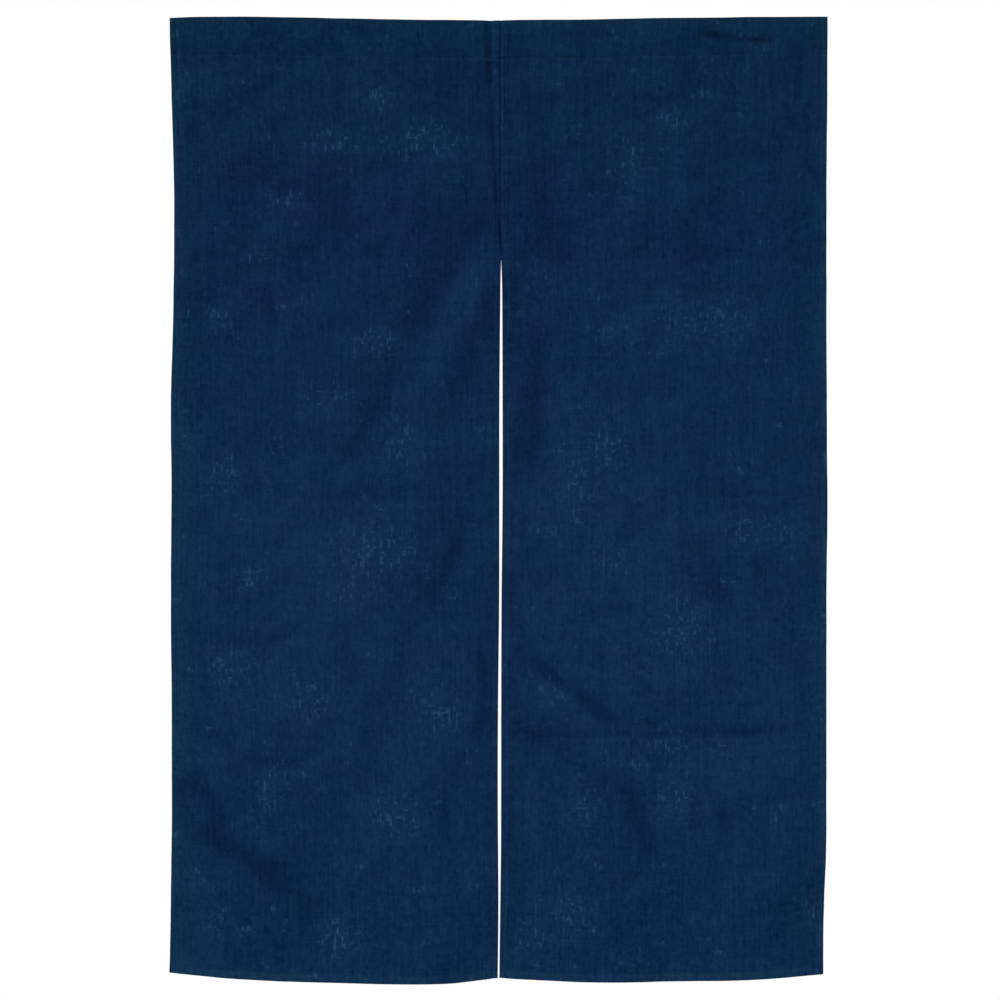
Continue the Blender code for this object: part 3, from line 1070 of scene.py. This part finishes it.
@dataclass(frozen=True)
class Stitching:
    """The thread that shows on one panel, on both sides, as short stitches sunk at both ends."""

    panel: Panel
    pitch: float = 0.0042
    length: float = 0.0031
    radius: float = 0.00021
    rings: int = 5
    corners: int = 5

    def spans(self, start: float, end: float) -> tuple[Array, Array]:
        """Where the stitches of a line start and end, between two lengths along it."""
        starts = np.arange(start, end - self.length, self.pitch)
        return starts, starts + self.length

    def line_ends(self, line: Line) -> tuple[Array, Array, Array, Array]:
        """Each stitch's first and last place along a line, as inward and drop, first then last.

        Args:
            line: The line of sewing.

        Returns:
            Each stitch's first inward and drop, then its last.
        """
        form = self.panel.hanging
        inset = form.stitch_inset(line)
        if line in (Line.POCKET, Line.BOTTOM):
            first, last = self.spans(0.002, form.panel_width - 0.001)
            drop = np.full_like(first, inset if line is Line.POCKET else form.length - inset)
            return first, drop, last, drop
        start = form.pocket_depth + 0.002 if line is Line.SIDE else 0.002
        first, last = self.spans(start, form.length - 0.003)
        inward = np.full_like(first, inset if line is Line.SIDE else form.panel_width - inset)
        return inward, first, inward, last

    def layers_deep(self, line: Line, inward: Array, drop: Array) -> Array:
        """How many layers a line goes through at each place.

        Args:
            line: The line of sewing.
            inward: Lengths in from the side edge.
            drop: Drops down the cloth.

        Returns:
            The number of layers.
        """
        form = self.panel.hanging
        hem = form.in_hem(inward)
        low = drop > form.length - form.bottom_hem
        if line is Line.POCKET:
            return 3 + 3 * hem
        if line is Line.BOTTOM:
            return 2 + 2 * hem
        return np.where(low, 4.0, 2.0)

    def tubes(self, line: Line, front: bool) -> Array:
        """The stitches of one line on one face, as (stitch, ring, corner, xyz).

        A stitch's middle line is straight between its ends on the cloth and rises off it as
        sin(pi t). Its radius goes as the fourth root of that, so that it narrows only at the ends.

        Args:
            line: The line of sewing.
            front: True for the face and False for the back.

        Returns:
            The rings of every stitch.
        """
        inward_a, drop_a, inward_b, drop_b = self.line_ends(line)
        t = np.linspace(0, 1, self.rings)[None, :]
        inward = inward_a[:, None] + (inward_b - inward_a)[:, None] * t
        drop = drop_a[:, None] + (drop_b - drop_a)[:, None] * t
        if line is Line.SLIT and not front:
            keep = drop[:, 0] > self.panel.hanging.pocket_depth + 0.006
            inward, drop = inward[keep], drop[keep]
        form = self.panel.hanging
        half = self.panel.cloth_thickness / 2
        if front:
            behind = np.full_like(inward, -half)
            if line is Line.SLIT:
                behind = behind + self.pocket_face(drop)
        else:
            behind = (self.layers_deep(line, inward, drop) - 1) * form.layer + half
        middle = self.panel.outer_point(inward, drop, behind)
        arch = np.sin(np.pi * np.clip(t, 0.02, 0.98))
        outward = -1.0 if front else 1.0
        middle[..., 1] += outward * self.radius * (1.3 * arch - 0.7)
        run = middle[:, -1:] - middle[:, :1]
        run /= np.linalg.norm(run, axis=-1, keepdims=True)
        up = np.array([0.0, outward, 0.0])
        aside = np.cross(run, up)
        turn = np.linspace(0, 2 * np.pi, self.corners, endpoint=False)[:, None]
        around = np.cos(turn) * aside[:, :, None] + np.sin(turn) * up
        thick = self.radius * arch**0.25
        return middle[:, :, None] + thick[..., None, None] * around

    def pocket_face(self, drop: Array) -> Array:
        """How far the pocket's front wall stands behind the panel's face at each drop.

        Args:
            drop: Drops down the cloth.

        Returns:
            From the wall's bulge over the pocket to 0 below it.
        """
        form = self.panel.hanging
        share = np.clip(drop / form.pocket_depth, 0, 1)
        angle = np.arccos(2 * share - 1)
        return np.where(drop < form.pocket_depth, form.pocket_bulge(angle)[1], 0.0)

    def build(self, finish: bpy.types.Material) -> bpy.types.Object:
        """Makes every stitch of the panel as one joined mesh.

        Args:
            finish: The thread's material.

        Returns:
            The stitches' object.
        """
        tubes = [self.tubes(line, front) for line in Line for front in (True, False)]
        points, faces = capped_tubes(np.concatenate(tubes))
        return mesh_object(f"stitching_{self.panel.side.word}", points, faces, finish)


def capped_tubes(tubes: Array) -> tuple[Array, Array]:
    """Vertices and triangles of many alike tubes, each closed by a point at both ends.

    Args:
        tubes: The rings of points, as (tube, ring, corner, xyz).

    Returns:
        Points, one a row, and triangles, one a row of three vertex numbers.
    """
    count, rings, corners, _ = tubes.shape
    ends = tubes[:, [0, -1]].mean(axis=2)
    points = np.concatenate([tubes.reshape(count, -1, 3), ends], axis=1)
    each = rings * corners + 2
    ring = np.arange(rings - 1)[:, None] * corners
    corner = np.arange(corners)[None, :]
    after = (corner + 1) % corners
    a, b = ring + corner, ring + after
    c, d = b + corners, a + corners
    walls = np.concatenate([np.stack([a, b, c], -1), np.stack([a, c, d], -1)]).reshape(-1, 3)
    first, last = rings * corners, rings * corners + 1
    base = (rings - 1) * corners
    start = np.stack([np.full(corners, first), after[0], corner[0]], -1)
    end = np.stack([np.full(corners, last), base + corner[0], base + after[0]], -1)
    one = np.concatenate([walls, start, end])
    faces = (np.arange(count)[:, None, None] * each + one[None]).reshape(-1, 3)
    return points.reshape(-1, 3), faces


class Nodes:
    """The node tree of a material or of the surround, with one method that adds any node."""

    def __init__(self, owner: bpy.types.Material | bpy.types.World, output: str) -> None:
        """Starts the owner's tree with nothing but an output of that type.

        Args:
            owner: The material or the surround.
            output: The type of its output node.
        """
        owner.use_nodes = True
        self.owner = owner
        self.tree = owner.node_tree
        self.tree.nodes.clear()
        self.output = self.tree.nodes.new(output)

    @classmethod
    def of_material(cls, name: str) -> Nodes:
        """The tree of a new material of that name."""
        return cls(bpy.data.materials.new(name), "ShaderNodeOutputMaterial")

    def add(
        self,
        kind: str,
        settings: dict[str, Any] | None = None,
        inputs: dict[str | int, Any] | None = None,
    ) -> bpy.types.Node:
        """Adds a node of that type, sets it up, and then fills its sockets.

        Args:
            kind: The node's type.
            settings: Its own settings, such as an operation.
            inputs: Values or links by socket name or number.

        Returns:
            The node.
        """
        node = self.tree.nodes.new(kind)
        for key, value in (settings or {}).items():
            setattr(node, key, value)
        for key, value in (inputs or {}).items():
            socket = node.inputs[key]
            if isinstance(value, Value):
                self.tree.links.new(value.socket, socket)
            elif isinstance(value, bpy.types.NodeSocket):
                self.tree.links.new(value, socket)
            else:
                socket.default_value = value
        return node

    def value(self, kind: str, output: str | int, settings: dict | None = None,
              inputs: dict | None = None) -> Value:
        """Adds a node and wraps one of its outputs, so that it can be used in sums."""
        return Value(self, self.add(kind, settings, inputs).outputs[output])

    def mixed(self, factor: Value, first: Colour, second: Colour) -> Value:
        """The first colour where the factor is 0, and the second where it is 1."""
        return self.value("ShaderNodeMix", 2, {"data_type": "RGBA"},
                          {0: factor, 6: (*first, 1.0), 7: (*second, 1.0)})

    def tinted(self, factor: Value, colour: Value, tint: Colour) -> Value:
        """The colour where the factor is 0, and the colour times the tint where it is 1."""
        return self.value("ShaderNodeMix", 2, {"data_type": "RGBA", "blend_type": "MULTIPLY"},
                          {0: factor, 6: colour, 7: (*tint, 1.0)})

    def bump(self, height: Value, distance: float) -> Value:
        """The surface's normal over a relief, where a height of 1 stands that distance high."""
        return self.value("ShaderNodeBump", 0, None,
                          {"Strength": 1.0, "Distance": distance, "Height": height})

    def finish(self, kind: str, inputs: dict[str | int, Any]) -> bpy.types.Material | bpy.types.World:
        """Adds the closing shader, joins it to the output and gives back the tree's owner.

        Args:
            kind: The closing shader's type.
            inputs: Values or links by socket name or number.

        Returns:
            The owner.
        """
        shader = self.add(kind, None, inputs)
        self.tree.links.new(shader.outputs[0], self.output.inputs[0])
        return self.owner


@dataclass(frozen=True)
class Value:
    """A number that varies over the surface. Sums on it add Math nodes."""

    nodes: Nodes
    socket: bpy.types.NodeSocket

    def sum_with(self, operation: str, *others: Any) -> Value:
        """One Math node of that operation on this value and the others."""
        inputs = {0: self, **{i + 1: other for i, other in enumerate(others)}}
        return self.nodes.value("ShaderNodeMath", 0, {"operation": operation}, inputs)

    def __add__(self, other: Any) -> Value:
        """This plus the other."""
        return self.sum_with("ADD", other)

    __radd__ = __add__

    def __mul__(self, other: Any) -> Value:
        """This times the other."""
        return self.sum_with("MULTIPLY", other)

    __rmul__ = __mul__

    def __sub__(self, other: Any) -> Value:
        """This less the other."""
        return self.sum_with("SUBTRACT", other)

    def __rsub__(self, other: float) -> Value:
        """The other less this."""
        return (self * -1.0) + other

    def __truediv__(self, other: Any) -> Value:
        """This over the other."""
        return self.sum_with("DIVIDE", other)

    def __pow__(self, other: float) -> Value:
        """This to a power."""
        return self.sum_with("POWER", other)

    def absolute(self) -> Value:
        """This without its sign."""
        return self.sum_with("ABSOLUTE")

    def sine(self) -> Value:
        """The sine of this, in radians."""
        return self.sum_with("SINE")

    def whole(self) -> Value:
        """This rounded down to a whole number."""
        return self.sum_with("FLOOR")

    def greatest(self, other: Any) -> Value:
        """The larger of this and the other."""
        return self.sum_with("MAXIMUM", other)

    def over(self, limit: float) -> Value:
        """1 where this is above the limit, else 0."""
        return self.sum_with("GREATER_THAN", limit)

    def between(self, low: float, high: float) -> Value:
        """0 at low and below, 1 at high and above, with a smooth step between them.

        Args:
            low: Where it leaves 0.
            high: Where it reaches 1.

        Returns:
            The step.
        """
        settings = {"interpolation_type": "SMOOTHSTEP"}
        inputs = {"Value": self, "From Min": low, "From Max": high}
        return self.nodes.value("ShaderNodeMapRange", 0, settings, inputs)

    def parts(self) -> list[Value]:
        """The three numbers of this vector."""
        node = self.nodes.add("ShaderNodeSeparateXYZ", None, {0: self})
        return [Value(self.nodes, socket) for socket in node.outputs]


@dataclass(frozen=True)
class Yarns:
    """A set of yarns that each keep a value of their own. Axis 0 is the upright warp and 1 the weft."""

    axis: int
    lane: float
    length: float
    seed: float
    weight: float = 0.0


@dataclass(frozen=True)
class Slubs:
    """Thick pale lengths of yarn, where the yarns' noise passes from low to high."""

    yarns: Yarns
    low: float
    high: float


@dataclass(frozen=True)
class Cloud:
    """Unevenness in soft patches, with their size across and down."""

    size: tuple[float, float]
    detail: float
    seed: float
    weight: float = 0.0


@dataclass(frozen=True)
class IndigoLinen:
    """Dark piece-dyed linen in plain weave, with uneven yarns, pale slubs and a soft bloom.

    A tone is made first, from the deep colour at 0 to the pale one at 1. It is the middle tone, plus
    the slubs, plus each set of yarns, each cloud and the lighter middle, less 0.5 and times their weights.
    """

    name: str = "indigo_linen"
    deep: Colour = (0.0015, 0.0114, 0.0450)
    pale: Colour = (0.0135, 0.0440, 0.1150)
    plum_tint: Colour = (1.18, 0.86, 1.00)
    green_tint: Colour = (0.86, 1.11, 0.82)
    # Lightening on the hems, partly painted highlight on their folded edges.
    hem_and_highlight_tint: Colour = (1.30, 1.34, 1.04)
    # Painted shade in the creases: its tint, and the share of it in the deepest ones.
    painted_crease_shade_tint: Colour = (0.40, 0.43, 0.56)
    painted_crease_shade_share: float = 0.6
    middle_tone: float = 0.20
    yarns: tuple[Yarns, ...] = (
        Yarns(0, 0.0024, 0.0140, 3.1, 0.23),
        Yarns(1, 0.0022, 0.0120, 7.7, 0.18),
        Yarns(0, 0.0027, 0.110, 12.9, 0.22),
        Yarns(1, 0.0027, 0.110, 18.3, 0.10),
    )
    clouds: tuple[Cloud, ...] = (
        Cloud((0.0050, 0.0075), 1.0, 61.7, 0.31),
        Cloud((0.110, 0.090), 3.0, 43.7, 0.18),
    )
    lighter_middle_weight: float = 0.11
    gather_weight: float = 0.09
    slub_weight: float = 1.17
    warp_slubs: Slubs = Slubs(Yarns(0, 0.0034, 0.0150, 31.3), 0.58, 0.76)
    weft_slubs: Slubs = Slubs(Yarns(1, 0.0034, 0.0120, 37.9), 0.60, 0.79)
    weft_slub_share: float = 0.7
    stray: Cloud = Cloud((0.034, 0.030), 2.0, 23.5)
    stray_share: float = 0.6
    hue: Cloud = Cloud((0.060, 0.050), 2.0, 51.1)
    # Takes each lane of yarn to a part of the noise that has nothing to do with the next one's.
    lane_jump: float = 3.71
    wander_scale: float = 9.0
    wander_reach: float = 0.0030
    roughness: float = 0.9
    specular: float = 0.015
    sheen: float = 0.02
    sheen_tint: Colour = (0.10, 0.22, 0.50)
    yarn_pitch: float = 0.00085
    weave_height: float = 0.00016

    def place(self, nodes: Nodes) -> Value:
        """The place on the flat pattern, wandering a little, so that no yarn runs quite straight.

        Args:
            nodes: The material.

        Returns:
            The place.
        """
        pattern = nodes.value("ShaderNodeUVMap", 0, {"uv_map": "pattern"})
        wander = nodes.value("ShaderNodeTexNoise", 1, {"noise_dimensions": "3D"},
                             {"Vector": pattern, "Scale": self.wander_scale, "Detail": 1.0})
        reach = (self.wander_reach, self.wander_reach, 0.0)
        return nodes.value("ShaderNodeVectorMath", 0, {"operation": "MULTIPLY_ADD"},
                           {0: wander, 1: reach, 2: pattern})

    def cloud_value(self, cloud: Cloud, place: Value) -> Value:
        """A cloud's noise, about 0.5 in the middle, from its own part of the pattern.

        Args:
            cloud: The patches' size and weight.
            place: The place on the flat pattern.

        Returns:
            The noise.
        """
        width, height = cloud.size
        scaled = place.nodes.value(
            "ShaderNodeVectorMath", 0, {"operation": "MULTIPLY_ADD"},
            {0: place, 1: (1 / width, 1 / height, 1.0), 2: (cloud.seed, -cloud.seed, cloud.seed)},
        )
        return place.nodes.value(
            "ShaderNodeTexNoise", 0, {"noise_dimensions": "3D"},
            {"Vector": scaled, "Scale": 1.0, "Detail": cloud.detail, "Roughness": 0.6},
        )

    def yarn_value(self, yarns: Yarns, place: Value) -> Value:
        """Noise that keeps one value across each yarn and changes along it, about 0.5 in the middle.

        The place across the yarns is cut down to a whole number of lanes, so that neighbours have
        nothing to do with each other, and the place along them is read in lengths.

        Args:
            yarns: The set, with its lanes' width and how far along a yarn its value holds.
            place: The place on the flat pattern.

        Returns:
            The value.
        """
        parts = place.parts()
        across = (parts[yarns.axis] / yarns.lane).whole() * self.lane_jump + yarns.seed
        along = parts[1 - yarns.axis] / yarns.length
        vector = place.nodes.value("ShaderNodeCombineXYZ", 0, None, {0: across, 1: along})
        return place.nodes.value("ShaderNodeTexNoise", 0, {"noise_dimensions": "2D"},
                                 {"Vector": vector, "Scale": 1.0, "Detail": 1.0, "Roughness": 0.5})

    def slub_value(self, slubs: Slubs, place: Value) -> Value:
        """The slubs of one set of yarns, rounded as a sine to the 0.7 across each yarn.

        Args:
            slubs: Which yarns, and where their noise counts as a slub.
            place: The place on the flat pattern.

        Returns:
            From 0 between the slubs to 1 on the middle of one.
        """
        across = place.parts()[slubs.yarns.axis] * (math.pi / slubs.yarns.lane)
        thick = self.yarn_value(slubs.yarns, place).between(slubs.low, slubs.high)
        return thick * across.sine().absolute() ** 0.7

    def weave(self, place: Value) -> Value:
        """The height of the plain weave, from 0 between the yarns to 1 on top of one.

        With u and v as the sines of the place across and down over the yarns' pitch, one yarn is on
        top where u times v is above 0, with height |u| times |v| to the 0.4, and the crossing yarn is
        on top elsewhere, with the powers the other way round.

        Args:
            place: The place on the flat pattern.

        Returns:
            The height.
        """
        u, v = ((part * (math.pi / self.yarn_pitch)).sine() for part in place.parts()[:2])
        on_top = (u * v).over(0.0)
        upright = u.absolute() * v.absolute() ** 0.4
        level = v.absolute() * u.absolute() ** 0.4
        return level + on_top * (upright - level)

    def build(self) -> bpy.types.Material:
        """Makes the material: yarn streaks, slubs in clusters, dye clouds, painted shade in the creases,
        hems lightened partly as painted highlight, and the weave's relief.

        Returns:
            The material.
        """
        nodes = Nodes.of_material(self.name)
        place = self.place(nodes)
        slubby, painted_crease_shade, lighter_middle, hem, greened, plum = (
            nodes.value("ShaderNodeAttribute", "Fac", {"attribute_name": name})
            for name in ("slubby", "painted_crease_shade", "lighter_middle", "hem", "greened", "plum")
        )

        stray = self.cloud_value(self.stray, place).between(0.58, 0.74)
        gather = slubby.greatest(stray * self.stray_share)
        warp_slubs = self.slub_value(self.warp_slubs, place)
        weft_slubs = self.slub_value(self.weft_slubs, place)
        slubs = (warp_slubs + weft_slubs * self.weft_slub_share) * (gather * 0.95 + 0.05)

        tone = self.middle_tone + gather * self.gather_weight + slubs * self.slub_weight
        tone = tone + (lighter_middle - 0.5) * self.lighter_middle_weight
        streaks = [self.yarn_value(yarns, place) for yarns in self.yarns]
        for streak, yarns in zip(streaks, self.yarns):
            tone = tone + (streak - 0.5) * yarns.weight
        for cloud in self.clouds:
            tone = tone + (self.cloud_value(cloud, place) - 0.5) * cloud.weight

        less_hue = 1 - self.cloud_value(self.hue, place)
        uneven = less_hue.between(0.46, 0.66) * 0.35 + plum * less_hue.between(0.30, 0.60) * 0.65
        colour = nodes.mixed(tone, self.deep, self.pale)
        for factor, tint in (
            (uneven, self.plum_tint),
            (greened, self.green_tint),
            # Hems lightened, partly as painted highlight on their folded edges.
            (hem, self.hem_and_highlight_tint),
            # Painted shade: the colour darkens down in the creases.
            (painted_crease_shade.greatest(0.0) * self.painted_crease_shade_share, self.painted_crease_shade_tint),
        ):
            colour = nodes.tinted(factor, colour, tint)

        warp, weft = streaks[:2]
        relief = self.weave(place) * 0.55 + warp * 0.5 + weft * 0.5 + slubs * 0.9
        return nodes.finish("ShaderNodeBsdfPrincipled", {
            "Base Color": colour,
            "Roughness": self.roughness,
            "Specular IOR Level": self.specular,
            "Sheen Weight": self.sheen,
            "Sheen Roughness": 0.5,
            "Sheen Tint": (*self.sheen_tint, 1.0),
            "Normal": nodes.bump(relief, self.weave_height),
        })


@dataclass(frozen=True)
class SewingThread:
    """Twisted thread a shade lighter than the cloth, with a faint gloss."""

    name: str = "sewing_thread"
    colour: Colour = (0.0140, 0.0430, 0.1150)
    # Painted shade: the colour in the grooves of the twist.
    dark: Colour = (0.0070, 0.0250, 0.0760)
    twist_pitch: float = 0.0006
    twist_height: float = 0.00006
    roughness: float = 0.6
    specular: float = 0.15

    def build(self) -> bpy.types.Material:
        """Makes the material: a diagonal twist in its relief, with painted shade darkening the colour in
        its grooves.

        Returns:
            The material.
        """
        nodes = Nodes.of_material(self.name)
        x, _, z = nodes.value("ShaderNodeTexCoord", "Object").parts()
        twist = ((x + z) * (2 * math.pi / self.twist_pitch)).sine() * 0.5 + 0.5
        return nodes.finish("ShaderNodeBsdfPrincipled", {
            "Base Color": nodes.mixed(twist, self.dark, self.colour),
            "Roughness": self.roughness,
            "Specular IOR Level": self.specular,
            "Normal": nodes.bump(twist, self.twist_height),
        })


@dataclass(frozen=True)
class Lamp:
    """A soft distant light: how high it stands and how far round from the front, in degrees."""

    name: str
    strength: float
    height: float
    aside: float


@dataclass(frozen=True)
class Studio:
    """A pale floor, a white surround, soft lights and a camera square to the hanging's face."""

    view_width: float = 1.338
    centre: tuple[float, float] = (0.0020, -0.6417)
    lens: float = 85.0
    sensor: float = 36.0
    floor_drop: float = 0.62
    floor_size: float = 4.0
    floor_tone: float = 0.86
    surround: float = 1.0
    fill: float = 0.20
    lamps: tuple[Lamp, ...] = (Lamp("key", 4.7, 41.0, -52.0), Lamp("rear", 2.6, 38.0, 145.0))
    softness: float = 16.0

    def camera(self) -> None:
        """Sets the camera at the distance from which the lens just takes in the view's width."""
        data = bpy.data.cameras.new("camera")
        data.lens = self.lens
        data.sensor_width = self.sensor
        data.dof.use_dof = False
        camera = bpy.data.objects.new("camera", data)
        x, z = self.centre
        camera.location = (x, -self.view_width * self.lens / self.sensor, z)
        camera.rotation_euler = (math.pi / 2, 0, 0)
        bpy.context.scene.collection.objects.link(camera)
        bpy.context.scene.camera = camera

    def floor(self, lowest: float) -> None:
        """Lays a plain pale floor well below the hem, which is where a doorway's floor is.

        Args:
            lowest: The z of the lowest hem.
        """
        half = self.floor_size / 2
        z = lowest - self.floor_drop
        corners = np.array([(-half, -half, z), (half, -half, z), (half, half, z), (-half, half, z)])
        pale = Nodes.of_material("pale_floor").finish("ShaderNodeBsdfPrincipled", {
            "Base Color": (self.floor_tone, self.floor_tone, self.floor_tone, 1.0),
            "Roughness": 0.9,
            "Specular IOR Level": 0.0,
        })
        mesh_object("floor", corners, np.array([[0, 1, 2, 3]]), pale)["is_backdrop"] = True

    def surroundings(self) -> None:
        """Makes the surround plain white to look at, and dimmer as a light."""
        nodes = Nodes(bpy.data.worlds.new("surround"), "ShaderNodeOutputWorld")
        lit, seen = (
            nodes.add("ShaderNodeBackground", None, {"Color": (1.0, 1.0, 1.0, 1.0), "Strength": strength})
            for strength in (self.fill, self.surround)
        )
        in_view = nodes.add("ShaderNodeLightPath").outputs["Is Camera Ray"]
        bpy.context.scene.world = nodes.finish(
            "ShaderNodeMixShader", {0: in_view, 1: lit.outputs[0], 2: seen.outputs[0]}
        )

    def light(self, lamp: Lamp) -> None:
        """Hangs a lamp as a distant light of the studio's softness.

        Args:
            lamp: Where it stands and how strong it is.
        """
        data = bpy.data.lights.new(lamp.name, "SUN")
        data.energy = lamp.strength
        data.angle = math.radians(self.softness)
        made = bpy.data.objects.new(lamp.name, data)
        made.rotation_euler = (math.radians(90 - lamp.height), 0, math.radians(lamp.aside))
        bpy.context.scene.collection.objects.link(made)

    def build(self, lowest: float) -> None:
        """Sets up the camera, floor, surround and lights, and a plain view of the colours.

        Args:
            lowest: The z of the lowest hem.
        """
        self.camera()
        self.floor(lowest)
        self.surroundings()
        for lamp in self.lamps:
            self.light(lamp)
        bpy.context.scene.view_settings.view_transform = "Standard"


def main() -> None:
    """Builds the panels, their sewing and the studio around the loaded frame."""
    logging.basicConfig(level=logging.INFO, format="%(name)s: %(message)s")
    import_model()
    cad_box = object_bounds()
    hanging = Hanging()
    linen = IndigoLinen().build()
    thread = SewingThread().build()
    for side in Side:
        panel = Panel(side, hanging)
        cloth = panel.build_cloth(linen)
        stitches = Stitching(panel).build(thread)
        for piece in (cloth, stitches):
            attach(piece, BODY)
            LOG.info("%s: %d faces", piece.name, len(piece.data.polygons))
        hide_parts(panel.name)
    Studio().build(cad_box[0][2])


if __name__ == "__main__":
    main()
